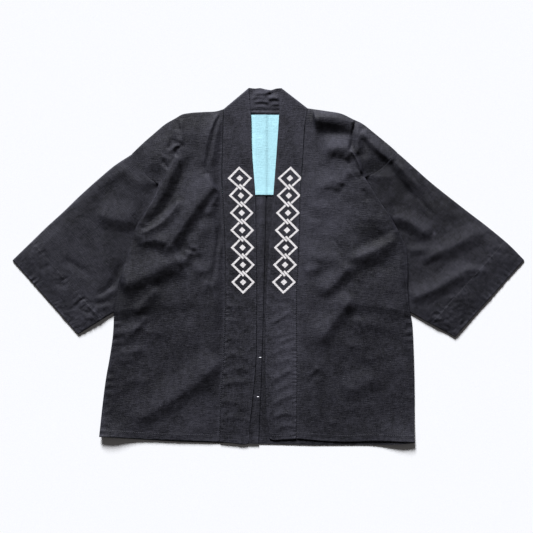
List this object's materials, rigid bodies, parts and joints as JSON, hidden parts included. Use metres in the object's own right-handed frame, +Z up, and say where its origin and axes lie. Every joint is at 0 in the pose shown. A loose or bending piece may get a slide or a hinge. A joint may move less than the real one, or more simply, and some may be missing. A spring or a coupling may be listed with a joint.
{
  "type": "happi coat",
  "caption": "Straight-cut Japanese work coat of faded black cotton, open in front with a doubled collar band and wide short sleeves, laid flat on its back.",
  "frame": {"origin": "on the surface, under the middle of the laid-out coat's box", "axes": "+Z up from the surface, +Y from the hem to the collar, +X to the wearer's left"},
  "size_m": [1.1, 0.768, 0.0155],
  "materials": {
    "cloth": "faded black slubby cotton, matte",
    "band": "the same cotton, doubled and printed on the front",
    "patch": "light blue plain-weave cotton"
  },
  "bodies": {
    "root": {"back_right": "cloth", "back_left": "cloth", "front_right": "cloth", "front_left": "cloth", "sleeve_right": "cloth", "sleeve_left": "cloth", "collar_right": "band", "collar_left": "band", "collar_neck": "band", "shoulder_patch": "patch"}
  },
  "joints": []
}
